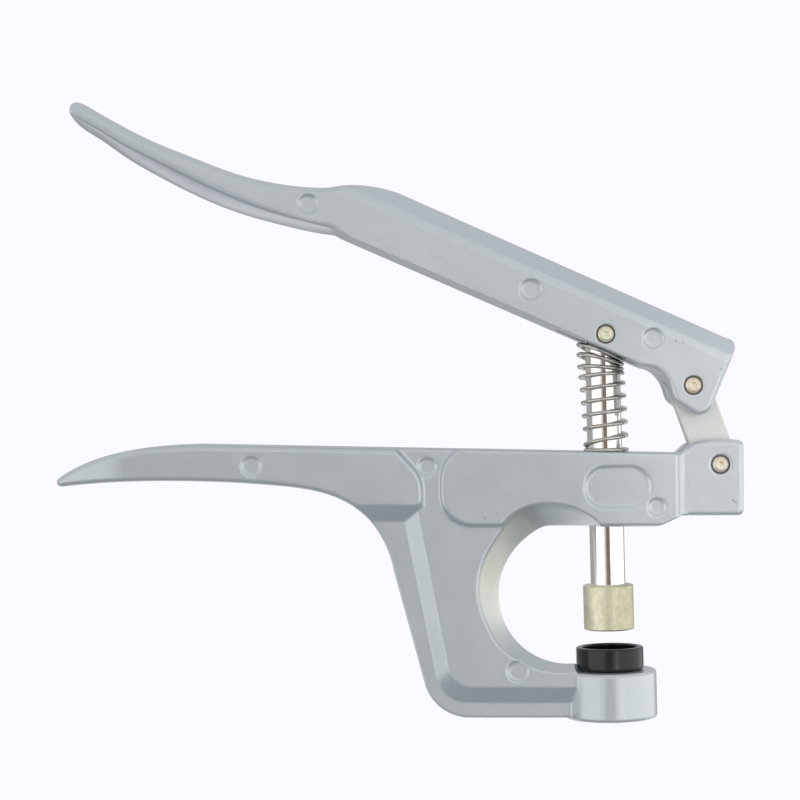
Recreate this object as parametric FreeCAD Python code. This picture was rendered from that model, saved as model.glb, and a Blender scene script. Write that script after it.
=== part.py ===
"""Snap setter pliers: a die-cast C-frame with a lower grip, an upper lever that drives a
spring-returned plunger through a toggle link, and a pair of snap dies in the throat.

Frame: X runs from the grips towards the hinge end, Z up along the plunger, Y across the
thickness.  The origin is on the plunger axis at the underside of the foot.
Every outline lies in the XZ plane, and the castings are symmetric about Y = 0."""

import FreeCAD
import Part
import math
import os
from FreeCAD import Vector

os.makedirs("parts", exist_ok=True)

# pivots, as (X, Z)
PLUNGER_PIVOT = (0.0, 110.7)
HANDLE_PIVOT = (24.6, 95.5)
FRAME_PIVOT = (32.3, 72.7)

# C-frame: half thicknesses, from the outer rim up to the raised panels
RIM_HALF = 5.9
WEB_HALF = 8.6
PANEL_HALF = 9.8
LUG_HALF = 8.3
LUG_EDGE_RADIUS = 1.2
FRAME_TOP = 95.0
HINGE_END = 60.0
GRIP_END = -165.0
FOOT_RADIUS = 13.3
FOOT_TOP = 13.9
FOOT_EDGE_RADIUS = 1.0
SPOT_FACE_RADIUS = 10.0
BAR_TOP = 15.5
NOSE_BOTTOM = 55.9
NOSE_FRONT = (14.0, 55.4)
SPRING_SEAT = 76.8
SPRING_CLEARANCE = 1.0
THROAT_LOW_X = -11.4
THROAT_LOW_RADIUS = 20.45
THROAT_LIP_HALF = 0.5
THROAT_BEVEL_END = 4.0
TOP_LINE_START = (-116.8, 82.0)
TOP_LINE_END = (21.1, 76.1)
NAME_PANEL_LEFT = -0.8
NAME_PANEL_RIGHT = 5.9
NAME_PANEL_Z = 67.0
NAME_PANEL_RADIUS = 6.0
NAME_PANEL_DEPTH = 0.5

# upper lever
LEVER_HALF = 12.0
LEVER_SLOPE = math.radians(-25.2)
BAR_START = (-57.6, 152.4)
BEVEL_DROP = 4.0
BEVEL_INSET = 3.2
CROWN_DROP = 2.4
CROWN_INSET = 0.25
END_EDGE_RADIUS = 1.2
GRIP_EDGE_RADIUS = 1.4

# toggle link and pins
LINK_HALF = 3.25
LINK_RADIUS = 5.8
LINK_EDGE_RADIUS = 0.5
LINK_SLOT_HALF = 3.5
LINK_SLOT_LEFT = 21.8
LINK_SLOT_GAP = 0.8
PIN_RADIUS = 2.35
PIN_SHY = 0.15
PIN_END_RADIUS = 0.6
PIN_RECESS_RADIUS = 2.8
PIN_RECESS_DEPTH = 0.5
RUNNING_GAP = 0.05
EYE_RADIUS = 2.8

# plunger, spring and dies
ROD_RADIUS = 5.0
ROD_SLOT_HALF = 5.3
ROD_TOP = 115.9
ROD_CHAMFER = 1.5
STUD_RADIUS = 3.0
STUD_LENGTH = 8.0
DIE_RADIUS = 7.25
DIE_BOTTOM = 25.5
DIE_TOP = 38.5
DIE_EDGE_RADIUS = 0.5
DIE_GROOVE_RADIUS = 5.6
DIE_GROOVE_DEPTH = 1.2
DIE_PIP_RADIUS = 1.7
SPRING_WIRE_RADIUS = 0.52
SPRING_RADIUS = 6.12
SPRING_TOP = 101.8
SPRING_TURNS = 8.5
CUP_RADIUS = 9.7
CUP_BORE_RADIUS = 7.9
CUP_RIM = 20.5
CUP_FLOOR = 15.9
CUP_HEEL_RADIUS = 1.0
CUP_RIM_RADIUS = 0.5
CUSHION_TOP = 17.1
CUSHION_DISH_RADIUS = 14.0
CUSHION_DISH_DEPTH = 0.6
SCREW_RADIUS = 2.0
SCREW_HEAD_RADIUS = 3.5
SCREW_HEAD_HEIGHT = 1.2
SCREW_SLOT_WIDTH = 0.8
SCREW_SLOT_DEPTH = 0.7
SCREW_END = 6.0

# shallow round ejector marks, as (X, Z, radius)
WEB_MARKS = [(-51.7, 74.0, 2.7), (-27.1, 14.9, 3.1)]
PANEL_MARKS = [(-102.0, 75.5, 2.85), (13.6, 61.0, 2.6)]
LEVER_MARKS = [(-83.8, 149.7, 2.85), (-21.0, 123.8, 3.1), (13.5, 109.1, 3.0)]
MARK_DEPTH = 0.45
MARK_DRAFT = 0.35

# how far a cutting tool runs past the face it cuts
OVER = 1.0

ALONG_Y = Vector(0, 1, 0)
ALONG_Z = Vector(0, 0, 1)


def point(p, y=0.0):
    return Vector(p[0], y, p[1])


def line(a, b):
    return Part.makeLine(point(a), point(b))


def path(points):
    return [line(a, b) for a, b in zip(points, points[1:])]


def arc(a, middle, b):
    return Part.Arc(point(a), point(middle), point(b)).toShape()


def curve(points, start=None, end=None):
    """A smooth curve through points, with the given directions at its ends."""
    ends = {}
    if start:
        ends["InitialTangent"] = point(start)
    if end:
        ends["FinalTangent"] = point(end)
    spline = Part.BSplineCurve()
    spline.interpolate(Points=[point(p) for p in points], **ends)
    return spline.toShape()


def prism(edges, half, low=None):
    """The outline's solid between Y = low (or -half) and Y = half."""
    bottom = -half if low is None else low
    face = Part.Face(Part.Wire(Part.__sortEdges__(edges)))
    face.translate(Vector(0, bottom, 0))
    return face.extrude(Vector(0, half - bottom, 0))


def across(p, radius, half):
    """A cylinder across the thickness, centred on Y = 0."""
    return Part.makeCylinder(radius, 2 * half, point(p, -half), ALONG_Y)


def upright(radius, low, high):
    """A cylinder on the plunger axis."""
    return Part.makeCylinder(radius, high - low, Vector(0, 0, low), ALONG_Z)


def edges_near(shape, test):
    """The edges whose every sample point passes test."""
    found = []
    for edge in shape.Edges:
        first, last = edge.ParameterRange
        samples = [edge.valueAt(first + (last - first) * k / 4) for k in range(5)]
        if all(test(v) for v in samples):
            found.append(edge)
    return found


def both_sides(front):
    return front.fuse(front.mirror(Vector(0, 0, 0), ALONG_Y))


def face_recess(p, radius, half, depth, draft=0.0):
    """A round recess in both faces of a casting, narrower by draft at its floor."""
    floor = radius - draft
    mouth = floor + draft * (depth + OVER) / depth
    if draft == 0:
        cut = Part.makeCylinder(radius, depth + OVER, point(p, half - depth), ALONG_Y)
    else:
        cut = Part.makeCone(floor, mouth, depth + OVER, point(p, half - depth), ALONG_Y)
    return both_sides(cut)


def rounded(corners):
    """A closed outline of straight runs, from (X, Z, corner radius) triples."""
    edges = []
    ends = []
    count = len(corners)
    for k, (x, z, radius) in enumerate(corners):
        here = Vector(x, 0, z)
        before = (point(corners[k - 1]) - here).normalize()
        after = (point(corners[(k + 1) % count]) - here).normalize()
        if radius == 0:
            ends.append((here, here))
            continue
        half_turn = before.getAngle(after) / 2
        back = radius / math.tan(half_turn)
        inward = (before + after).normalize()
        middle = here + inward * (radius / math.sin(half_turn) - radius)
        start = here + before * back
        end = here + after * back
        edges.append(Part.Arc(start, middle, end).toShape())
        ends.append((start, end))
    for k in range(count):
        edges.append(Part.makeLine(ends[k - 1][1], ends[k][0]))
    return edges


def wire_at(corners, y):
    wire = Part.Wire(Part.__sortEdges__(rounded(corners)))
    wire.translate(Vector(0, y, 0))
    return wire


def raised(foot, top, low, high):
    """A pad on both faces: its outline is foot at Y = low and narrows to top at Y = high."""
    front = Part.makeLoft([wire_at(foot, low), wire_at(top, high)], True, True)
    return prism(rounded(foot), low).fuse([front, front.mirror(Vector(0, 0, 0), ALONG_Y)])


def save(shape, name):
    """Writes a piece, which has to be one solid, as its own file."""
    (solid,) = shape.Solids
    solid.exportStep(os.path.join("parts", name + ".step"))


# the C-frame ---------------------------------------------------------------

def frame_silhouette():
    """The frame's whole outline, without its foot: grip, nose, hinge lug, throat and column."""
    column_top = (-62.0, 44.5)
    column_low = (-54.1, 12.7)
    heel = (-41.1, 1.6)
    bar_end_high = (6.7, BAR_TOP)
    bar_end_low = (6.7, 0.4)
    grip_end_low = (-156.58, 70.81)
    grip_end_high = (-157.72, 73.29)
    throat_top = (-16.5, NOSE_BOTTOM)
    throat_turn = (-28.28, 47.5)
    throat_back = (THROAT_LOW_X - THROAT_LOW_RADIUS, BAR_TOP + THROAT_LOW_RADIUS)
    throat_low = (THROAT_LOW_X, BAR_TOP)
    lug_back = (23.6, 78.5)
    lug_top = (37.2, 79.6)
    lug_side_high = (39.2, 77.6)
    lug_side_low = (38.8, 59.6)
    lug_low = (37.1, 57.9)
    nose_step = (20.8, 58.3)
    grip_top = [grip_end_high, (-151.4, 76.7), (-139.8, 80.3), (-128.3, 81.7), TOP_LINE_START]
    grip_low = [column_top, (-65.7, 54.9), (-71.3, 61.8), (-78.2, 66.0), (-94.1, 69.6),
                (-122.7, 71.7), (-141.6, 71.8), grip_end_low]
    return [
        arc(grip_end_low, (-158.16, 71.70), grip_end_high),
        curve(grip_top, end=(1, -0.0428)),
        line(TOP_LINE_START, TOP_LINE_END),
        line(TOP_LINE_END, lug_back),
        curve([lug_back, (26.5, 79.5), (31.3, 79.9), lug_top]),
        arc(lug_top, (38.7, 79.0), lug_side_high),
        line(lug_side_high, lug_side_low),
        arc(lug_side_low, (38.3, 58.4), lug_low),
        line(lug_low, nose_step),
        line(nose_step, NOSE_FRONT),
        line(NOSE_FRONT, throat_top),
        curve([throat_top, (-21.1, 54.3), (-24.8, 51.5), throat_turn], start=(-1, 0), end=(-0.565, -0.825)),
        arc(throat_turn, throat_back, throat_low),
        line(throat_low, bar_end_high),
        line(bar_end_high, bar_end_low),
        line(bar_end_low, heel),
        arc(heel, (-49.8, 5.0), column_low),
        line(column_low, column_top),
        curve(grip_low, start=(-0.236, 0.972)),
    ]


def throat_bevel():
    """Both sides' sloping cuts round the back of the throat, from near the middle plane to the faces."""
    lip = [(-3.3, 55.3), (-10.0, 55.4), (-16.5, 55.4), (-21.0, 53.9), (-24.6, 51.2), (-28.0, 47.3),
           (-30.6, 42.0), (-31.5, 36.0), (-30.0, 28.2), (-25.6, 21.7), (-19.1, 17.4), (-11.4, 15.8)]
    mouth = [(-1.9, 55.3), (-4.2, 57.9), (-9.5, 61.2), (-14.8, 62.7), (-18.3, 63.0), (-24.1, 62.1),
             (-28.5, 59.7), (-33.5, 53.8), (-35.9, 50.2), (-38.5, 43.7), (-38.9, 35.6), (-37.0, 29.3),
             (-33.4, 22.4), (-26.7, 17.4), (-20.2, 14.8), (-17.3, 14.3), (-10.8, 14.3)]
    rings = []
    for y, points in ((THROAT_LIP_HALF, lip), (PANEL_HALF, mouth)):
        low = (THROAT_BEVEL_END, points[-1][1])
        high = (THROAT_BEVEL_END, points[0][1])
        ring = Part.Wire([curve(points), line(points[-1], low), line(low, high), line(high, points[0])])
        ring.translate(Vector(0, y, 0))
        rings.append(ring)
    slope = Part.makeLoft(rings, True, True)
    past_the_face = Part.Face(rings[1]).extrude(ALONG_Y * OVER)
    return both_sides(slope.fuse(past_the_face))


def web_pad():
    """The raised web behind the lower outer rim: column, foot bar and nose."""
    under_grip = [(-62.5, FRAME_TOP, 0), (-62.5, 72.0, 0), (-75.0, 72.0, 0)]
    foot = [(-75.0, 63.0, 0), (-58.9, 60.5, 0), (-49.1, 6.3, 9), (HINGE_END, 3.6, 0),
            (HINGE_END, FRAME_TOP, 0)]
    top = [(-75.0, 66.5, 0), (-55.0, 63.0, 0), (-46.0, 10.7, 7), (HINGE_END, 8.1, 0),
           (HINGE_END, FRAME_TOP, 0)]
    foot += under_grip
    top += under_grip
    return raised(foot, top, RIM_HALF, WEB_HALF)


def grip_pad():
    """The lower grip, which ends in a rounded step on the column."""
    foot = [(GRIP_END, 61.2, 0), (-51.0, 58.4, 2), (-51.0, 72.0, 12), (-63.5, 86.0, 0), (GRIP_END, 88.0, 0)]
    top = [(GRIP_END, 66.0, 0), (-53.8, 63.2, 2), (-53.8, 71.0, 9), (-67.0, 86.0, 0), (GRIP_END, 88.0, 0)]
    return raised(foot, top, RIM_HALF, PANEL_HALF)


def nose_pad():
    """The nose panel over the throat, rounded at its back end."""
    foot = [(-48.6, 56.9, 9), (20.4, 55.2, 0), (20.8, 83.0, 0), (-35.2, 84.4, 0), (-48.1, 75.2, 9)]
    top = [(-47.9, 57.6, 9), (19.5, 55.9, 0), (19.9, 83.0, 0), (-34.5, 84.4, 0), (-47.4, 75.2, 9)]
    return raised(foot, top, WEB_HALF, PANEL_HALF)


def name_panel():
    """The blank sunken panel on the nose, with half-round ends."""
    low = NAME_PANEL_Z - NAME_PANEL_RADIUS
    high = NAME_PANEL_Z + NAME_PANEL_RADIUS
    floor = PANEL_HALF - NAME_PANEL_DEPTH
    corners = [(NAME_PANEL_LEFT, low, 0), (NAME_PANEL_RIGHT, low, 0), (NAME_PANEL_RIGHT, high, 0),
               (NAME_PANEL_LEFT, high, 0)]
    middle = prism(rounded(corners), PANEL_HALF + OVER, floor)
    height = NAME_PANEL_DEPTH + OVER
    ends = [Part.makeCylinder(NAME_PANEL_RADIUS, height, Vector(x, floor, NAME_PANEL_Z), ALONG_Y)
            for x in (NAME_PANEL_LEFT, NAME_PANEL_RIGHT)]
    return both_sides(middle.fuse(ends))


def make_foot():
    foot = upright(FOOT_RADIUS, 0, FOOT_TOP)
    rims = edges_near(foot, lambda v: math.hypot(v.x, v.y) > FOOT_RADIUS - 0.01)
    return foot.makeFillet(FOOT_EDGE_RADIUS, rims)


def make_frame():
    silhouette = frame_silhouette()
    inside = prism(silhouette, PANEL_HALF + OVER)
    grip = grip_pad().common(inside)
    grip_edges = edges_near(grip, lambda v: abs(abs(v.y) - PANEL_HALF) < 1e-3 and
                            (v.z > 79.5 or v.x < -116 or (v.x < -73 and v.z < 72.5)))
    grip = grip.makeFillet(GRIP_EDGE_RADIUS, grip_edges)
    pads = web_pad().fuse(nose_pad()).common(inside)
    body = prism(silhouette, RIM_HALF).fuse([grip, pads]).removeSplitter()

    beside_lug = [(20.6, 50.0, 0), (HINGE_END, 50.0, 0), (HINGE_END, FRAME_TOP, 0), (21.6, FRAME_TOP, 0)]
    body = body.cut(both_sides(prism(rounded(beside_lug), PANEL_HALF + OVER, LUG_HALF)))
    lug_region = prism(rounded([(22.5, 50.0, 0), (HINGE_END, 50.0, 0), (HINGE_END, FRAME_TOP, 0),
                                (22.5, FRAME_TOP, 0)]), LUG_HALF)
    lug = prism(silhouette, LUG_HALF).common(lug_region)
    lug_edges = edges_near(lug, lambda v: abs(abs(v.y) - LUG_HALF) < 1e-3 and
                           (v.z > 77.0 or v.z < 60.0 or v.x > 37.0))
    lug = lug.makeFillet(LUG_EDGE_RADIUS, lug_edges)
    body = body.cut([throat_bevel(), lug_region]).fuse([lug, make_foot()])

    slot_floor = FRAME_PIVOT[1] - LINK_RADIUS - LINK_SLOT_GAP
    link_slot = [(LINK_SLOT_LEFT, slot_floor, 2), (HINGE_END, slot_floor, 0), (HINGE_END, FRAME_TOP, 0),
                 (LINK_SLOT_LEFT, FRAME_TOP, 0)]
    spring_pocket_radius = SPRING_RADIUS + SPRING_CLEARANCE
    cuts = [
        prism(rounded(link_slot), LINK_SLOT_HALF),
        across(FRAME_PIVOT, PIN_RADIUS, LUG_HALF + OVER),
        face_recess(FRAME_PIVOT, PIN_RECESS_RADIUS, LUG_HALF, PIN_RECESS_DEPTH),
        name_panel(),
        upright(SPOT_FACE_RADIUS, FOOT_TOP, BAR_TOP + OVER),
        upright(ROD_RADIUS + RUNNING_GAP, NOSE_BOTTOM - OVER, SPRING_SEAT + OVER),
        upright(spring_pocket_radius, SPRING_SEAT, FRAME_TOP),
        upright(SCREW_RADIUS, SCREW_END, FOOT_TOP + OVER),
    ]
    for x, z, radius in WEB_MARKS:
        cuts.append(face_recess((x, z), radius, WEB_HALF, MARK_DEPTH, MARK_DRAFT))
    for x, z, radius in PANEL_MARKS:
        cuts.append(face_recess((x, z), radius, PANEL_HALF, MARK_DEPTH, MARK_DRAFT))
    return body.cut(cuts)


# the upper lever -----------------------------------------------------------

def bar_directions():
    """Unit vectors along the lever's bar, towards the hinge, and across it, upwards."""
    along = Vector(math.cos(LEVER_SLOPE), 0, math.sin(LEVER_SLOPE))
    return along, Vector(-along.z, 0, along.x)


def lever_silhouette():
    """The lever's main bar and hinge lug, ahead of the grip."""
    kink = (-76.3, 141.7)
    hump = (-76.3, 154.7)
    nose = (34.8, 108.8)
    lug_front = (30.4, 90.9)
    lug_low = (24.4, 87.6)
    lug_back = (20.6, 90.1)
    bar_low = (11.7, 100.9)
    return [
        line(kink, hump),
        curve([hump, (-72.0, 155.0), (-66.5, 154.7), BAR_START], end=(1, math.tan(LEVER_SLOPE))),
        line(BAR_START, nose),
        arc(nose, (36.9, 107.4), (37.0, 105.6)),
        line((37.0, 105.6), lug_front),
        curve([lug_front, (29.2, 88.5), (27.0, 87.1), lug_low], start=(-0.40, -0.91)),
        line(lug_low, lug_back),
        curve([lug_back, (18.9, 92.3), (18.2, 94.7), (17.0, 97.3), (14.6, 99.8), bar_low]),
        line(bar_low, kink),
    ]


def grip_section(x, top, side, belly):
    """A closed section across the grip: flat top, straight sides, and a crowned underside."""
    half = LEVER_HALF
    soft = GRIP_EDGE_RADIUS
    diagonal = soft * (1 - math.sqrt(0.5))
    p = [Vector(x, -half, side), Vector(x, -half, top - soft), Vector(x, -half + soft, top),
         Vector(x, half - soft, top), Vector(x, half, top - soft), Vector(x, half, side)]
    left = Part.Arc(p[1], Vector(x, -half + diagonal, top - diagonal), p[2]).toShape()
    right = Part.Arc(p[3], Vector(x, half - diagonal, top - diagonal), p[4]).toShape()
    crown = Part.Arc(p[5], Vector(x, 0, belly), p[0]).toShape()
    flats = [Part.makeLine(p[k], p[k + 1]) for k in (0, 2, 4)]
    return Part.Wire([flats[0], left, flats[1], right, flats[2], crown])


def make_grip():
    """The lever's grip: sections from the tip to the main bar, as (X, top, side, belly)."""
    stations = [
        (-151.2, 179.5, 177.2, 176.6),
        (-150.0, 180.5, 176.4, 175.2),
        (-145.5, 179.0, 173.9, 172.0),
        (-138.1, 174.5, 169.3, 166.6),
        (-127.3, 168.7, 163.4, 159.8),
        (-115.9, 163.8, 157.5, 153.7),
        (-104.3, 159.1, 151.8, 148.7),
        (-92.6, 156.0, 147.2, 145.1),
        (-81.1, 154.5, 143.8, 142.3),
        (-76.3, 154.7, 142.3, 141.7),
    ]
    return Part.makeLoft([grip_section(*s) for s in stations], True, False)


def bar_bevel():
    """The cuts along the top of the main bar, on both faces: a slight crown, then the bevel."""
    along, up = bar_directions()
    before_the_bar = 45.0
    rise = 2.0
    ridge = LEVER_HALF - CROWN_INSET
    top = ridge - BEVEL_INSET * (BEVEL_DROP + rise) / BEVEL_DROP
    start = point(BAR_START) - along * before_the_bar
    crown_low = start - up * (BEVEL_DROP + CROWN_DROP)
    corners = [
        crown_low + ALONG_Y * LEVER_HALF,
        start - up * BEVEL_DROP + ALONG_Y * ridge,
        start + up * rise + ALONG_Y * top,
        start + up * rise + ALONG_Y * (LEVER_HALF + OVER),
        crown_low + ALONG_Y * (LEVER_HALF + OVER),
    ]
    return both_sides(Part.Face(Part.makePolygon(corners + corners[:1])).extrude(along * 160))


def link_slot_in_bar():
    """The slot that the link enters, lined up with the bar and open below and in front."""
    along, up = bar_directions()
    back = along * -7.0
    front = along * 40.0
    roof = up * 6.6
    below = up * -40.0
    corners = [point(HANDLE_PIVOT) + v for v in (back + below, front + below, front + roof, back + roof)]
    return prism(path([(c.x, c.z) for c in corners + corners[:1]]), LINK_SLOT_HALF)


def make_handle():
    bar = prism(lever_silhouette(), LEVER_HALF).cut(bar_bevel())
    end_edges = edges_near(bar, lambda v: abs(abs(v.y) - LEVER_HALF) < 1e-3 and v.x > 12.0 and v.z < 104.5)
    body = bar.makeFillet(END_EDGE_RADIUS, end_edges).fuse(make_grip())
    rod_slot = [(-13.5, 88.0, 0), (9.6, 88.0, 0), (9.6, 114.7, 2), (-12.8, 125.3, 2)]
    cuts = [prism(rounded(rod_slot), ROD_SLOT_HALF), link_slot_in_bar()]
    for pivot in (PLUNGER_PIVOT, HANDLE_PIVOT):
        cuts.append(across(pivot, PIN_RADIUS, LEVER_HALF + OVER))
        cuts.append(face_recess(pivot, PIN_RECESS_RADIUS, LEVER_HALF, PIN_RECESS_DEPTH))
    for x, z, radius in LEVER_MARKS:
        cuts.append(face_recess((x, z), radius, LEVER_HALF, MARK_DEPTH, MARK_DRAFT))
    return body.cut(cuts)


# link and pins -------------------------------------------------------------

def make_link():
    ends = [across(p, LINK_RADIUS, LINK_HALF) for p in (HANDLE_PIVOT, FRAME_PIVOT)]
    along = (point(FRAME_PIVOT) - point(HANDLE_PIVOT)).normalize()
    side = Vector(-along.z, 0, along.x) * LINK_RADIUS
    corners = [point(HANDLE_PIVOT) + side, point(FRAME_PIVOT) + side, point(FRAME_PIVOT) - side,
               point(HANDLE_PIVOT) - side]
    middle = prism(path([(c.x, c.z) for c in corners + corners[:1]]), LINK_HALF)
    body = ends[0].fuse([ends[1], middle]).removeSplitter()
    body = body.makeFillet(LINK_EDGE_RADIUS, edges_near(body, lambda v: abs(abs(v.y) - LINK_HALF) < 1e-4))
    holes = [across(p, PIN_RADIUS + RUNNING_GAP, LINK_HALF + OVER) for p in (HANDLE_PIVOT, FRAME_PIVOT)]
    return body.cut(holes)


def make_pin(pivot, half):
    """A headless pin whose domed ends lie just under the casting's faces."""
    pin = across(pivot, PIN_RADIUS, half - PIN_SHY)
    return pin.makeFillet(PIN_END_RADIUS, edges_near(pin, lambda v: abs(abs(v.y) - half + PIN_SHY) < 1e-4))


# plunger, spring and dies --------------------------------------------------

def make_plunger():
    """The sliding rod: a cross hole at the top, and a stud at the foot for the upper die."""
    rod = upright(ROD_RADIUS, DIE_TOP, ROD_TOP)
    rod = rod.makeChamfer(ROD_CHAMFER, edges_near(rod, lambda v: abs(v.z - ROD_TOP) < 1e-4))
    stud = upright(STUD_RADIUS, DIE_TOP - STUD_LENGTH, DIE_TOP)
    return rod.fuse(stud).cut(across(PLUNGER_PIVOT, EYE_RADIUS, ROD_RADIUS + OVER))


def make_spring():
    height = SPRING_TOP - SPRING_SEAT - 2 * SPRING_WIRE_RADIUS
    helix = Part.makeHelix(height / SPRING_TURNS, height, SPRING_RADIUS)
    helix.translate(Vector(0, 0, SPRING_SEAT + SPRING_WIRE_RADIUS))
    (wire,) = helix.Edges
    start = wire.FirstParameter
    section = Part.makeCircle(SPRING_WIRE_RADIUS, wire.valueAt(start), wire.tangentAt(start))
    return Part.Wire(helix).makePipeShell([Part.Wire(section)], True, True)


def make_upper_die():
    """A plain round die with a ring groove and a centre pip in its working face."""
    body = upright(DIE_RADIUS, DIE_BOTTOM, DIE_TOP)
    rims = edges_near(body, lambda v: math.hypot(v.x, v.y) > DIE_RADIUS - 0.01)
    body = body.makeFillet(DIE_EDGE_RADIUS, rims)
    groove_top = DIE_BOTTOM + DIE_GROOVE_DEPTH
    groove = upright(DIE_GROOVE_RADIUS, DIE_BOTTOM - OVER, groove_top)
    groove = groove.cut(upright(DIE_PIP_RADIUS, DIE_BOTTOM - OVER, groove_top))
    return body.cut([groove, upright(STUD_RADIUS, DIE_TOP - STUD_LENGTH, DIE_TOP + OVER)])


def make_cup():
    """The lower die's holder: a cup with a screw hole in its floor."""
    body = upright(CUP_RADIUS, FOOT_TOP, CUP_RIM)
    body = body.makeFillet(CUP_HEEL_RADIUS, edges_near(body, lambda v: abs(v.z - FOOT_TOP) < 1e-4))
    body = body.cut(upright(CUP_BORE_RADIUS, CUP_FLOOR, CUP_RIM + OVER))
    body = body.makeFillet(CUP_RIM_RADIUS, edges_near(body, lambda v: abs(v.z - CUP_RIM) < 1e-4))
    head_seat = CUP_FLOOR - SCREW_HEAD_HEIGHT
    return body.cut([upright(SCREW_HEAD_RADIUS + RUNNING_GAP, head_seat, CUP_FLOOR + OVER),
                     upright(SCREW_RADIUS + RUNNING_GAP, FOOT_TOP - OVER, CUP_FLOOR)])


def make_cushion():
    """The soft pad in the cup, dished in the middle to hold a snap."""
    body = upright(CUP_BORE_RADIUS - RUNNING_GAP, CUP_FLOOR, CUSHION_TOP)
    dish_centre = Vector(0, 0, CUSHION_TOP + CUSHION_DISH_RADIUS - CUSHION_DISH_DEPTH)
    return body.cut(Part.makeSphere(CUSHION_DISH_RADIUS, dish_centre))


def make_screw():
    """The slotted screw that holds the cup on the foot."""
    head_low = CUP_FLOOR - SCREW_HEAD_HEIGHT
    screw = upright(SCREW_HEAD_RADIUS, head_low, CUP_FLOOR).fuse(upright(SCREW_RADIUS, SCREW_END, head_low))
    reach = SCREW_HEAD_RADIUS + OVER
    corner = Vector(-reach, -SCREW_SLOT_WIDTH / 2, CUP_FLOOR - SCREW_SLOT_DEPTH)
    return screw.cut(Part.makeBox(2 * reach, SCREW_SLOT_WIDTH, SCREW_SLOT_DEPTH, corner))


save(make_frame(), "frame")
save(make_handle(), "handle")
save(make_link(), "link")
save(make_pin(FRAME_PIVOT, LUG_HALF), "frame_link_pin")
save(make_pin(HANDLE_PIVOT, LEVER_HALF), "handle_link_pin")
save(make_pin(PLUNGER_PIVOT, LEVER_HALF), "plunger_pin")
save(make_plunger(), "plunger")
save(make_spring(), "return_spring")
save(make_upper_die(), "upper_die")
save(make_cup(), "lower_die_cup")
save(make_cushion(), "die_cushion")
save(make_screw(), "cup_screw")
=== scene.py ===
"""The looks of the snap setter pliers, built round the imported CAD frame, in metres."""

import math

import bmesh
import bpy
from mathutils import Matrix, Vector


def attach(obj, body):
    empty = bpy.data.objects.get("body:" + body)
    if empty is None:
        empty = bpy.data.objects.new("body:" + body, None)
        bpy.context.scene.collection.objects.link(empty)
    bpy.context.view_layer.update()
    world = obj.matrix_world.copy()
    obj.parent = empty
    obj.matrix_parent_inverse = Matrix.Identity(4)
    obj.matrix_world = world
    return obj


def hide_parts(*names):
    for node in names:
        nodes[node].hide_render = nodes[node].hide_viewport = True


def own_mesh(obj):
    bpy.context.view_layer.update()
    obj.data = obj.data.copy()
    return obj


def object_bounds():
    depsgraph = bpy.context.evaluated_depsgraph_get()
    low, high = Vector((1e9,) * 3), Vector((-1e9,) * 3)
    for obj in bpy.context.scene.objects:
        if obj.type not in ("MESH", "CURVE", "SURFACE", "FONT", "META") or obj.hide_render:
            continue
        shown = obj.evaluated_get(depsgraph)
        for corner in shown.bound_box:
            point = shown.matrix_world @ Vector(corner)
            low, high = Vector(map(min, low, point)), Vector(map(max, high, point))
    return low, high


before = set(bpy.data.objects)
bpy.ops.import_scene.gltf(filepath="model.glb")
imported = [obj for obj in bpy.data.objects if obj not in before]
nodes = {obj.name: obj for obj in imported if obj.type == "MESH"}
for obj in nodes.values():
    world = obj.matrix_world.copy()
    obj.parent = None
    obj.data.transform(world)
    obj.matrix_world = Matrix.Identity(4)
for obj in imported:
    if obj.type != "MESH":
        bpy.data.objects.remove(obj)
cad_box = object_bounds()

MM = 0.001

# the camera, which leans with the tool in its picture. Its focal length is in widths of the picture
CAMERA_PLACE = Vector((-0.0590, -0.635, 0.09337))
CAMERA_UPRIGHT = math.radians(90)
CAMERA_LEAN = math.radians(1.405)
FOCAL_PER_WIDTH = 2.7375
SENSOR_WIDTH = 36.0
CAMERA_NEAR = 10.0 * MM

# the castings' softened skins
SKIN_CELL = 0.30 * MM
SKIN_SMOOTHING = 5
SMOOTH_FACTOR = 0.5
SKIN_FACES = 150000

# small pits and scuffs in the castings' faces, as (X, Z, radius, depth) in mm, and the share of the radius
# that is flat floor
PITS = (
    (-36.5, 60.3, 0.45, 0.20),
    (-35.7, 58.8, 0.50, 0.24),
    (-34.1, 59.6, 0.35, 0.14),
    (-32.0, 59.9, 0.45, 0.20),
    (36.1, 61.5, 0.60, 0.20),
    (35.5, 62.2, 0.45, 0.20),
    (19.9, 108.2, 0.55, 0.16),
    (21.9, 107.6, 0.60, 0.16),
    (32.5, 99.7, 0.55, 0.16),
)
PIT_FLOOR = 0.2

# painted light: the lacquer is drawn paler towards the hinge end, fading in along X and out along Z
HINGE_PAINTED_LIGHT_X = (-15.0 * MM, 22.0 * MM)
HINGE_PAINTED_LIGHT_Z = (102.0 * MM, 116.0 * MM)
HINGE_PAINTED_LIGHT_HIGH = 0.3

# the painted highlight, a near-white patch on the slope at the back of the throat: each fade is (axis, from,
# to, share before, share after), and its width ends at this distance from the middle
THROAT_HIGHLIGHT_FADES = (
    ("Z", 18.0 * MM, 32.0 * MM, 0.0, 1.0),
    ("X", -41.0 * MM, -40.0 * MM, 0.0, 1.0),
    ("X", -32.0 * MM, -26.0 * MM, 1.0, 0.4),
    ("X", -12.0 * MM, -4.0 * MM, 1.0, 0.0),
    ("Z", 49.0 * MM, 54.0 * MM, 1.0, 0.6),
    ("Z", 63.0 * MM, 66.0 * MM, 1.0, 0.0),
)
THROAT_HIGHLIGHT_DEPTH = (7.6 * MM, 8.4 * MM)

# painted shade: the die's plating is drawn darker towards its right side, from pale to dark over this
# stretch of X
DIE_PAINTED_SHADE_X = (-6.0 * MM, 6.0 * MM)

# a noise's values lie mostly between these
NOISE_SPREAD = (0.3, 0.7)

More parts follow.
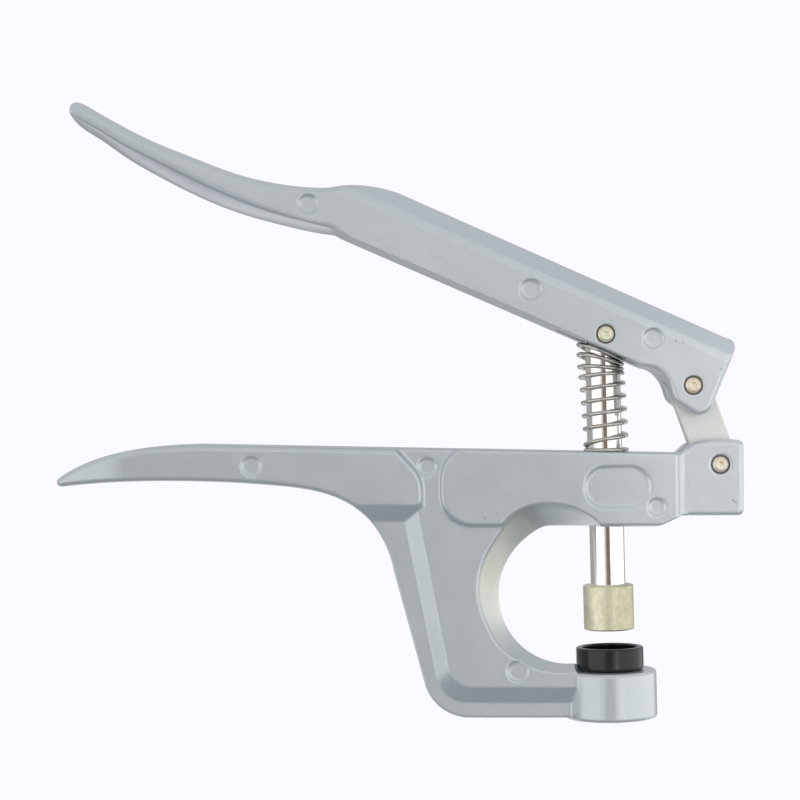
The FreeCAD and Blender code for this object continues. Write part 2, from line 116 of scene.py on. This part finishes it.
# the lever's grip, rounder than the rest from this X on, except round its mark, (X, Z, radius) in mm
GRIP_SOFT_FROM = -72.0 * MM
GRIP_SOFT_BLEND = 4.0 * MM
GRIP_MARK = (-83.8, 149.7, 3.8)
GRIP_SMOOTHING = 50

# the round seat in the foot: what stands between these heights over it goes down to its floor
SEAT_CLEAR = 10.1 * MM
SEAT_LOW = 13.75 * MM
SEAT_HIGH = 25.0 * MM
SEAT_FLOOR = 13.85 * MM

# the lower grip's tip, whose side faces turn inwards, less so inside the core
TIP_START = -138.5 * MM
TIP_SLOPE = 0.21
TIP_BEND = 3.0 * MM
TIP_CORE = 6.0 * MM

# the return spring's wire. The tuples have one value for each turn, from the seat up: the height at the
# front in mm, the slope along X, and the shift along X in mm. The wire starts before its first front and
# ends after its last one, by these parts of a turn. It is squashed towards its seat, to the last value
WIRE_RADIUS = 0.58 * MM
COIL_RADIUS_LOW = 5.97 * MM
COIL_RADIUS_HIGH = 6.30 * MM
COIL_HEIGHTS = (77.5, 80.8, 84.7, 88.4, 92.2, 96.0, 99.5, 101.5, 104.0, 106.0)
COIL_LEANS = (0.0, 0.0, 0.0, 0.0, 0.0, 0.0, -0.02, -0.16, -0.36, -0.45)
COIL_OFFSETS = (0.40, 0.40, 0.30, 0.15, 0.0, -0.20, -0.45, -0.70, -0.70, -0.60)
SPRING_START = -0.75
SPRING_TAIL = 0.45

# the pins: the places of the pivots as (X, Z), and half the width of the parts they join, all in mm
FRAME_PIVOT = (32.3, 72.7)
HANDLE_PIVOT = (24.6, 95.5)
PLUNGER_PIVOT = (0.0, 110.7)
LUG_HALF = 8.3
LEVER_HALF = 12.0

# a rivet's end from its middle out, as (radius, rise above the face) in mm, and its bands drawn dark as
# painted shadow in the gap round it
RIVET_PROFILE = (
    (0.02, -0.22),
    (0.45, -0.18),
    (0.85, -0.02),
    (1.30, 0.02),
    (1.70, -0.06),
    (2.00, -0.22),
    (2.20, -0.45),
    (2.58, -0.08),
    (2.58, -0.14),
    (2.30, -0.60),
)
RIVET_SHADOW_BANDS = (6, 7, 8)

# the studio's tones, as linear colours, and the backdrop that only the camera sees
BACKDROP = (0.965, 0.957, 1.0)
CARD_TONE = (1.20, 1.19, 1.17)
ROOM_TONE_LEFT = (0.58, 0.59, 0.60)
ROOM_TONE_RIGHT = (1.90, 1.90, 1.89)
STRIP_TONE = (0.22, 0.15, 0.115)
BEHIND_TONE = (0.36, 0.36, 0.37)
TOP_TONE = (0.73, 0.74, 0.76)
BACK_TONE = (0.60, 0.61, 0.63)
TABLE_TONE = (0.34, 0.36, 0.38)
TABLE_TONE_BEHIND = (1.00, 1.00, 1.02)

# where those tones meet. A pair is a soft edge. Sides are angles in radians from the front, positive to the
# right, and heights and depths are the Z and Y of a direction one long
ROOM_SIDE = (0.32, 0.50)
ROOM_SPLIT = (-0.18, 0.18)
STRIP_MIDDLE = 0.03
STRIP_SIDE = (0.20, 0.27)
STRIP_LEVEL = -0.03
STRIP_HEIGHT = (0.07, 0.09)
BEHIND_LEFT = (-1.62, -1.50)
BEHIND_RIGHT = (2.25, 2.45)
TOP_HEIGHT = (0.08, 0.25)
BACK_DEPTH = (0.35, 0.60)
BACK_HEIGHT = (0.10, 0.25)
TABLE_HEIGHT = (-0.48, -0.22)
TABLE_DEPTH = (0.0, 0.9)

# the floor under the tool
FLOOR_GAP = 0.2 * MM
FLOOR_REACH = 3.0

# node helpers ----------------------------------------------------------------

class Nodes:
    """A node tree, with short names for what the materials and the studio below need."""

    def __init__(self, tree, place):
        self.tree = tree
        self.place = tree.nodes.new("ShaderNodeTexCoord").outputs[place]

    def node(self, kind, **values):
        """A new node, with these of its settings."""
        made = self.tree.nodes.new(kind)
        for key, value in values.items():
            setattr(made, key, value)
        return made

    def link(self, out, socket):
        self.tree.links.new(out, socket)

    def noise(self, size, detail=2.0, roughness=0.5):
        """Soft noise whose lumps are size metres across."""
        made = self.node("ShaderNodeTexNoise")
        made.inputs["Scale"].default_value = 1.0 / size
        made.inputs["Detail"].default_value = detail
        made.inputs["Roughness"].default_value = roughness
        self.link(self.place, made.inputs["Vector"])
        return made.outputs["Fac"]

    def step(self, value, edge, before=0.0, after=1.0):
        """A number that goes smoothly from before to after as the value crosses the edge, a pair."""
        made = self.node("ShaderNodeMapRange", interpolation_type="SMOOTHSTEP")
        self.link(value, made.inputs["Value"])
        for key, number in zip(("From Min", "From Max", "To Min", "To Max"), (*edge, before, after)):
            made.inputs[key].default_value = number
        return made.outputs["Result"]

    def place_axes(self):
        """The X, Y and Z of the place."""
        axes = self.node("ShaderNodeSeparateXYZ")
        self.link(self.place, axes.inputs[0])
        return axes.outputs

    def math(self, operation, a, b):
        """A sum, product or other result of a and b, each a socket or a number."""
        made = self.node("ShaderNodeMath", operation=operation)
        for socket, value in zip(made.inputs, (a, b)):
            if isinstance(value, (int, float)):
                socket.default_value = value
            else:
                self.link(value, socket)
        return made.outputs["Value"]

    def mix(self, share, a, b):
        """Colour a where the share is 0 and b where it is 1."""
        made = self.node("ShaderNodeMix", data_type="RGBA")
        for socket, value in ((made.inputs[0], share), (made.inputs[6], a), (made.inputs[7], b)):
            if isinstance(value, tuple):
                socket.default_value = (*value, 1.0)
            else:
                self.link(value, socket)
        return made.outputs[2]


class Shader(Nodes):
    """A material, with its shader and the patterns that its surface takes."""

    def __init__(self, name):
        self.material = bpy.data.materials.new(name)
        self.material.use_nodes = True
        self.shader = self.material.node_tree.nodes["Principled BSDF"]
        super().__init__(self.material.node_tree, "Object")

    def set(self, **values):
        """Constants on the shader's own sockets, with _ for the spaces in their names."""
        for key, value in values.items():
            self.shader.inputs[key.replace("_", " ")].default_value = value

    def colour(self, out):
        self.link(out, self.shader.inputs["Base Color"])

    def roughness(self, out):
        self.link(out, self.shader.inputs["Roughness"])

    def normal(self, out):
        self.link(out, self.shader.inputs["Normal"])

    def vary(self, size, detail, low, high):
        """A number that wanders from low to high and back, in lumps size metres across."""
        return self.step(self.noise(size, detail), NOISE_SPREAD, low, high)

    def bump(self, height, distance, under=None):
        """A normal from a height that is distance metres deep, on top of the normal under it."""
        made = self.node("ShaderNodeBump")
        made.inputs["Distance"].default_value = distance
        self.link(height, made.inputs["Height"])
        if under:
            self.link(under, made.inputs["Normal"])
        return made.outputs["Normal"]

    def pits(self):
        """A height that drops into each of the PITS, on both faces."""
        flat = self.node("ShaderNodeVectorMath", operation="MULTIPLY")
        flat.inputs[1].default_value = (1.0, 0.0, 1.0)
        self.link(self.place, flat.inputs[0])
        height = 0.0
        for x, z, radius, depth in PITS:
            off = self.node("ShaderNodeVectorMath", operation="DISTANCE")
            off.inputs[1].default_value = (x * MM, 0.0, z * MM)
            self.link(flat.outputs["Vector"], off.inputs[0])
            edge = (PIT_FLOOR * radius * MM, radius * MM)
            dent = self.step(off.outputs["Value"], edge, -depth * MM, 0.0)
            height = self.math("ADD", dent, height)
        return height

    def throat_painted_highlight(self):
        """The share of painted highlight on the slope at the back of the throat."""
        axes = self.place_axes()
        share = self.step(self.math("ABSOLUTE", axes["Y"], 0.0), THROAT_HIGHLIGHT_DEPTH, 1.0, 0.0)
        for axis, low, high, before, after in THROAT_HIGHLIGHT_FADES:
            share = self.math("MULTIPLY", share, self.step(axes[axis], (low, high), before, after))
        return share

    def hinge_painted_light(self):
        """The share of painted light, a paler tone towards the hinge end."""
        axes = self.place_axes()
        along = self.step(axes["X"], HINGE_PAINTED_LIGHT_X)
        up = self.step(axes["Z"], HINGE_PAINTED_LIGHT_Z, 1.0, HINGE_PAINTED_LIGHT_HIGH)
        return self.math("MULTIPLY", along, up)


def cast_paint():
    """Silver-grey satin lacquer over a die casting: fine metallic grain, faint clouds, orange peel and pits,
    with painted light towards the hinge end and a painted highlight on the throat's slope.

    Its roughness stays above 0.28 all over, because a patch below that is denoised like a mirror and shows.
    """
    s = Shader("cast_paint")
    s.set(Metallic=0.62, Coat_Weight=0.36, Coat_Roughness=0.24)
    cloud = s.noise(0.030, 3)
    flakes = s.noise(0.0009, 1)
    base = s.mix(cloud, (0.575, 0.625, 0.652), (0.603, 0.652, 0.676))
    # painted light: a paler tone towards the hinge end
    base = s.mix(s.hinge_painted_light(), base, (0.700, 0.750, 0.775))
    base = s.mix(s.step(flakes, (0.5, 0.8), 0.0, 0.10), base, (0.70, 0.73, 0.75))
    # painted highlight: the slope at the back of the throat is drawn near-white
    s.colour(s.mix(s.throat_painted_highlight(), base, (0.96, 0.98, 0.97)))
    s.roughness(s.vary(0.008, 3, 0.285, 0.34))
    soft = s.bump(s.noise(0.0022, 1), 0.000030, s.bump(s.noise(0.012, 1), 0.00008))
    s.normal(s.bump(s.pits(), 1.0, soft))
    return s.material


def metal(name, low, high, rough, grain, depth):
    """A plated or bare metal, with its two tones, gloss and surface grain."""
    s = Shader(name)
    s.set(Metallic=1.0)
    s.colour(s.mix(s.noise(0.004, 4), low, high))
    s.roughness(s.vary(0.0016, 4, rough * 0.75, rough * 1.3))
    s.normal(s.bump(s.noise(grain, 3), depth))
    return s.material


def zinc(name, low, high, stain):
    """Passivated zinc: a satin plating with mottled stains."""
    s = Shader(name)
    s.set(Metallic=0.85)
    base = s.mix(s.step(s.noise(0.005, 4, 0.6), (0.35, 0.65)), low, high)
    s.colour(s.mix(s.step(s.noise(0.0017, 3), (0.52, 0.75), 0.0, 0.8), base, stain))
    s.roughness(s.vary(0.0012, 4, 0.32, 0.52))
    s.normal(s.bump(s.noise(0.0006, 3), 0.00003))
    return s.material


def plastic(name, low, high, rough, grain, depth):
    """A moulded or otherwise non-metallic surface, with its tone, gloss and grain."""
    s = Shader(name)
    s.colour(s.mix(s.noise(0.003, 3), low, high))
    s.roughness(s.vary(0.002, 3, rough * 0.8, rough * 1.25))
    s.normal(s.bump(s.noise(grain, 3), depth))
    return s.material


def painted_reflection_plate(name, low, high):
    """A pale flat of steel whose near-white colour is a painted reflection of the room's white, with soft
    changes of tone and gloss.
    """
    s = Shader(name)
    s.set(Metallic=0.08)
    s.colour(s.mix(s.noise(0.006, 1), low, high))
    s.roughness(s.vary(0.004, 1, 0.29, 0.42))
    s.normal(s.bump(s.noise(0.005, 1), 0.00002))
    return s.material


def die_plating():
    """Yellow-passivated zinc on a turned part, with painted shade that darkens its right side."""
    s = Shader("die_zinc")
    s.set(Metallic=0.80)
    # painted shade: the base colour darkens from the left side to the right
    side = s.step(s.place_axes()["X"], DIE_PAINTED_SHADE_X)
    base = s.mix(side, (0.92, 0.88, 0.68), (0.60, 0.58, 0.40))
    base = s.mix(s.step(s.noise(0.005, 4, 0.6), (0.35, 0.65), 0.0, 0.5), base, (0.74, 0.71, 0.50))
    s.colour(s.mix(s.step(s.noise(0.0017, 3), (0.55, 0.75), 0.0, 0.5), base, (0.62, 0.60, 0.42)))
    s.roughness(s.vary(0.0012, 4, 0.32, 0.52))
    s.normal(s.bump(s.noise(0.0009, 2), 0.00003))
    return s.material


MATERIALS = {
    "cast_paint": cast_paint(),
    # painted reflection: the plated link is drawn near-white and mostly diffuse, standing in for the light
    # it reflects
    "link_steel": painted_reflection_plate("link_steel", (0.95, 0.93, 0.89), (0.98, 0.97, 0.94)),
    "pin_yellow": zinc("pin_yellow", (0.84, 0.84, 0.62), (0.93, 0.92, 0.74), stain=(0.82, 0.58, 0.48)),
    "pin_rose": zinc("pin_rose", (0.92, 0.82, 0.64), (0.97, 0.91, 0.78), stain=(0.92, 0.56, 0.46)),
    # painted shadow: a dark ring drawn where the gap round each rivet head is shaded
    "pin_painted_shadow": plastic(
        "pin_painted_shadow", (0.09, 0.08, 0.06), (0.24, 0.20, 0.14), rough=0.4, grain=0.0004, depth=0.00002
    ),
    "rod_nickel": metal(
        "rod_nickel", (0.93, 0.91, 0.88), (0.98, 0.96, 0.93), rough=0.07, grain=0.0010, depth=0.000002
    ),
    # nickel plating, its tone drawn darker than the metal itself as painted shade for the shadow under the
    # lever
    "spring_nickel": metal(
        "spring_nickel", (0.52, 0.48, 0.44), (0.72, 0.68, 0.63), rough=0.12, grain=0.0005, depth=0.000006
    ),
    "die_zinc": die_plating(),
    "cup_black": plastic(
        "cup_black", (0.007, 0.007, 0.008), (0.012, 0.012, 0.013), rough=0.09, grain=0.001, depth=0.000004
    ),
    "pad_red": plastic(
        "pad_red", (0.13, 0.045, 0.03), (0.20, 0.07, 0.05), rough=0.6, grain=0.0004, depth=0.00003
    ),
    "screw_steel": metal(
        "screw_steel", (0.5, 0.49, 0.47), (0.6, 0.59, 0.57), rough=0.35, grain=0.0005, depth=0.00001
    ),
}

NODE_MATERIAL = {
    "frame": "cast_paint",
    "handle": "cast_paint",
    "link": "link_steel",
    "frame_link_pin": "pin_rose",
    "handle_link_pin": "pin_rose",
    "plunger_pin": "pin_yellow",
    "plunger": "rod_nickel",
    "return_spring": "spring_nickel",
    "upper_die": "die_zinc",
    "lower_die_cup": "cup_black",
    "die_cushion": "pad_red",
    "cup_screw": "screw_steel",
}


def dress_nodes():
    """Gives every CAD piece its material."""
    for node, material in NODE_MATERIAL.items():
        mesh = nodes[node].data
        mesh.materials.clear()
        mesh.materials.append(MATERIALS[material])


# pieces built here -----------------------------------------------------------

def add_piece(name, mesh, material, body, node):
    """Puts a mesh in the scene in place of a CAD node, on that node's body."""
    # only where there are some, because it also sets the faces' material indices to 0
    if len(mesh.materials) > 0:
        mesh.materials.clear()
    mesh.materials.append(MATERIALS[material])
    mesh.shade_smooth()
    piece = bpy.data.objects.new(name, mesh)
    bpy.context.scene.collection.objects.link(piece)
    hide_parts(node)
    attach(piece, body)
    return piece


def evaluated_mesh(piece):
    """A new mesh of the piece with its modifiers applied."""
    graph = bpy.context.evaluated_depsgraph_get()
    return bpy.data.meshes.new_from_object(piece.evaluated_get(graph))


def shape_frame(mesh):
    """Clears the cup's seat and turns the side faces of the lower grip's tip inwards."""
    for vertex in mesh.vertices:
        x, y, z = vertex.co
        over_seat = abs(x) < SEAT_CLEAR and (y < 0 or math.hypot(x, y) < SEAT_CLEAR)
        if over_seat and SEAT_LOW < z < SEAT_HIGH:
            vertex.co.z = SEAT_FLOOR
        if x < TIP_START:
            ahead = TIP_START - x
            inset = TIP_SLOPE * (ahead - TIP_BEND * (1 - math.exp(-ahead / TIP_BEND)))
            inset *= min(abs(y) / TIP_CORE, 1.0)
            vertex.co.y = math.copysign(max(abs(y) - inset, 0.0), y)


def soften_grip(work):
    """Gives the lever's grip, except round its ejector mark, a modifier that rounds it further."""
    work.data = evaluated_mesh(work)
    work.modifiers.clear()
    group = work.vertex_groups.new(name="grip")
    for vertex in work.data.vertices:
        x, z = vertex.co.x, vertex.co.z
        along = min(max((GRIP_SOFT_FROM - x) / GRIP_SOFT_BLEND, 0.0), 1.0)
        off = math.hypot(x - GRIP_MARK[0] * MM, z - GRIP_MARK[1] * MM)
        weight = along * min(max((off - GRIP_MARK[2] * MM) / GRIP_SOFT_BLEND, 0.0), 1.0)
        if weight > 0:
            group.add((vertex.index,), weight, "REPLACE")
    soft = work.modifiers.new("soft", "SMOOTH")
    soft.factor = SMOOTH_FACTOR
    soft.iterations = GRIP_SMOOTHING
    soft.vertex_group = "grip"


def cast_skin(name, node, body):
    """The CAD casting with every edge and corner softened, as tumbling and lacquer leave it."""
    work = bpy.data.objects.new(name + "_work", nodes[node].data.copy())
    bpy.context.scene.collection.objects.link(work)
    remesh = work.modifiers.new("remesh", "REMESH")
    remesh.mode = "VOXEL"
    remesh.voxel_size = SKIN_CELL
    smooth = work.modifiers.new("smooth", "SMOOTH")
    smooth.factor = SMOOTH_FACTOR
    smooth.iterations = SKIN_SMOOTHING
    if node == "handle":
        soften_grip(work)
    full = evaluated_mesh(work)
    if node == "frame":
        shape_frame(full)
    triangles = 2 * len(full.polygons)  # the remeshed faces are quads
    work.modifiers.clear()
    work.data = full
    decimate = work.modifiers.new("decimate", "DECIMATE")
    decimate.ratio = min(1.0, SKIN_FACES / triangles)
    skin = evaluated_mesh(work)
    bpy.data.objects.remove(work)
    piece = add_piece(name, skin, "cast_paint", body, node)
    even = piece.modifiers.new("even", "WEIGHTED_NORMAL")
    even.mode = "FACE_AREA"
    even.keep_sharp = False


def between(values, turn):
    """The value at a fractional turn, from a tuple with one value for each turn."""
    low = min(int(turn), len(values) - 2)
    share = turn - low
    return values[low] * (1 - share) + values[low + 1] * share


def spring_centre(turn):
    """The wire's centre after so many turns, counted from the front of the lowest coil."""
    last = len(COIL_HEIGHTS) - 1
    angle = -math.pi / 2 + 2 * math.pi * turn
    share = min(max(turn / last, 0.0), 1.0)
    radius = COIL_RADIUS_LOW + (COIL_RADIUS_HIGH - COIL_RADIUS_LOW) * share
    x = radius * math.cos(angle)
    y = radius * math.sin(angle)
    if turn <= 0.5:
        height = COIL_HEIGHTS[0]
    elif turn < 1:
        height = COIL_HEIGHTS[0] + (COIL_HEIGHTS[1] - COIL_HEIGHTS[0]) * (turn - 0.5) * 2
    else:
        height = between(COIL_HEIGHTS, min(turn, last))
    lean = between(COIL_LEANS, min(max(turn, 0.0), last))
    offset = between(COIL_OFFSETS, min(max(turn, 0.0), last))
    return Vector((x + offset * MM, y, height * MM + lean * x))


def ring_solid(name, rings):
    """A closed mesh through rings of points. Its faces are in order, band by band, and then the two ends."""
    build = bmesh.new()
    rings = [[build.verts.new(point) for point in ring] for ring in rings]
    for low, high in zip(rings, rings[1:]):
        for here in range(len(low)):
            after = (here + 1) % len(low)
            build.faces.new((low[here], low[after], high[after], high[here]))
    build.faces.new(rings[0][::-1])
    build.faces.new(rings[-1])
    bmesh.ops.recalc_face_normals(build, faces=build.faces)
    mesh = bpy.data.meshes.new(name)
    build.to_mesh(mesh)
    build.free()
    return mesh


def make_spring():
    """A round-wire compression spring, with its last coils leaning along the lever's underside."""
    steps_a_turn = 48
    round_steps = 12
    last = len(COIL_HEIGHTS) - 1 + SPRING_TAIL
    count = int((last - SPRING_START) * steps_a_turn)
    centres = [spring_centre(SPRING_START + (last - SPRING_START) * k / count) for k in range(count + 1)]
    turns = [2 * math.pi * k / round_steps for k in range(round_steps)]
    rings = []
    for k, centre in enumerate(centres):
        ahead = (centres[min(k + 1, count)] - centres[max(k - 1, 0)]).normalized()
        out = Vector((centre.x, centre.y, 0)).normalized()
        up = ahead.cross(out).normalized()
        out = up.cross(ahead)
        rings.append([centre + (out * math.cos(a) + up * math.sin(a)) * WIRE_RADIUS for a in turns])
    mesh = ring_solid("return_spring_wire", rings)
    piece = add_piece("return_spring_wire", mesh, "spring_nickel", "frame", "return_spring")
    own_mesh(piece)


def make_rivet(name, node, body, material, pivot, half):
    """A headed-over pin: shallow domed ends with a dimple, each in a ring of painted shadow where the gap
    round it is shaded.
    """
    steps = 64
    turns = [2 * math.pi * k / steps for k in range(steps)]
    middle = Vector((pivot[0], 0.0, pivot[1]))
    rings = []
    for side, order in ((-1, RIVET_PROFILE), (1, RIVET_PROFILE[::-1])):
        for radius, rise in order:
            y = side * (half + rise)
            ring = [middle + Vector((radius * math.cos(a), y, radius * math.sin(a))) for a in turns]
            rings.append([point * MM for point in ring])
    mesh = ring_solid(name, rings)
    last_band = len(rings) - 2
    for face in mesh.polygons:
        band = face.index // steps
        # these bands take the dark material, a painted shadow in the gap round the head
        if min(band, last_band - band) in RIVET_SHADOW_BANDS:
            face.material_index = 1
    piece = add_piece(name, mesh, material, body, node)
    piece.data.materials.append(MATERIALS["pin_painted_shadow"])


dress_nodes()
cast_skin("frame_casting", "frame", "frame")
cast_skin("lever_casting", "handle", "handle")
make_spring()
make_rivet("frame_link_rivet", "frame_link_pin", "frame", "pin_rose", FRAME_PIVOT, LUG_HALF)
make_rivet("handle_link_rivet", "handle_link_pin", "handle", "pin_rose", HANDLE_PIVOT, LEVER_HALF)
make_rivet("plunger_rivet", "plunger_pin", "handle", "pin_yellow", PLUNGER_PIVOT, LEVER_HALF)


# camera, floor and lights ----------------------------------------------------

def make_camera():
    """The camera in front of the near side, rolled by the lean of the tool in its picture."""
    data = bpy.data.cameras.new("camera")
    data.sensor_width = SENSOR_WIDTH
    data.lens = SENSOR_WIDTH * FOCAL_PER_WIDTH
    data.clip_start = CAMERA_NEAR
    camera = bpy.data.objects.new("camera", data)
    camera.location = CAMERA_PLACE
    camera.rotation_euler = (CAMERA_UPRIGHT, CAMERA_LEAN, 0)
    bpy.context.scene.collection.objects.link(camera)
    bpy.context.scene.camera = camera


def make_stage():
    """A pale floor that glows like the backdrop, and neither lights the tool nor is reflected in it."""
    mesh = bpy.data.meshes.new("floor")
    build = bmesh.new()
    level = cad_box[0].z - FLOOR_GAP
    corners = [(-1, -1), (1, -1), (1, 1), (-1, 1)]
    build.faces.new([build.verts.new((x * FLOOR_REACH, y * FLOOR_REACH, level)) for x, y in corners])
    build.to_mesh(mesh)
    build.free()
    floor = bpy.data.objects.new("floor", mesh)
    floor.visible_glossy = False
    floor.visible_diffuse = False
    bpy.context.scene.collection.objects.link(floor)
    s = Shader("floor_white")
    s.colour(s.mix(s.noise(0.4, 2), (0.0, 0.0, 0.0), (0.004, 0.004, 0.004)))
    s.set(Roughness=0.9, Specular_IOR_Level=0.0, Emission_Strength=1.0, Emission_Color=(*BACKDROP, 1.0))
    mesh.materials.append(s.material)


def make_world():
    """A pale studio with white cards at the sides and a grey table below.

    In front is a room, dimmer on the left and brighter on the right, with a dark brown strip in its middle.
    Behind the tool and overhead it is dimmer than the cards.
    """
    world = bpy.data.worlds.new("studio")
    world.use_nodes = True
    studio = Nodes(world.node_tree, "Generated")
    axes = studio.place_axes()

    def above(value, edge):
        return studio.step(value, edge, 0.0, 1.0)

    def below(value, edge):
        return studio.step(value, edge, 1.0, 0.0)

    depth = axes["Y"]
    high = axes["Z"]
    side = studio.math("ARCTAN2", axes["X"], studio.math("MULTIPLY", depth, -1.0))
    from_strip = studio.math("ABSOLUTE", studio.math("ADD", side, -STRIP_MIDDLE), 0.0)
    over_strip = studio.math("ABSOLUTE", studio.math("ADD", high, -STRIP_LEVEL), 0.0)
    strip = studio.math("MULTIPLY", below(from_strip, STRIP_SIDE), below(over_strip, STRIP_HEIGHT))
    front = below(studio.math("ABSOLUTE", side, 0.0), ROOM_SIDE)
    behind = studio.math("MAXIMUM", below(side, BEHIND_LEFT), above(side, BEHIND_RIGHT))
    back_high = studio.math("MULTIPLY", above(depth, BACK_DEPTH), above(high, BACK_HEIGHT))
    room = studio.mix(above(studio.math("ADD", side, high), ROOM_SPLIT), ROOM_TONE_LEFT, ROOM_TONE_RIGHT)
    table = studio.mix(above(depth, TABLE_DEPTH), TABLE_TONE, TABLE_TONE_BEHIND)
    light = studio.mix(front, CARD_TONE, room)
    light = studio.mix(strip, light, STRIP_TONE)
    light = studio.mix(behind, light, BEHIND_TONE)
    light = studio.mix(above(high, TOP_HEIGHT), light, TOP_TONE)
    light = studio.mix(back_high, light, BACK_TONE)
    light = studio.mix(below(high, TABLE_HEIGHT), light, table)
    seen = studio.node("ShaderNodeLightPath").outputs["Is Camera Ray"]
    background = world.node_tree.nodes["Background"]
    studio.link(studio.mix(seen, light, BACKDROP), background.inputs["Color"])
    bpy.context.scene.world = world


make_camera()
make_stage()
make_world()
bpy.context.scene.view_settings.view_transform = "Standard"
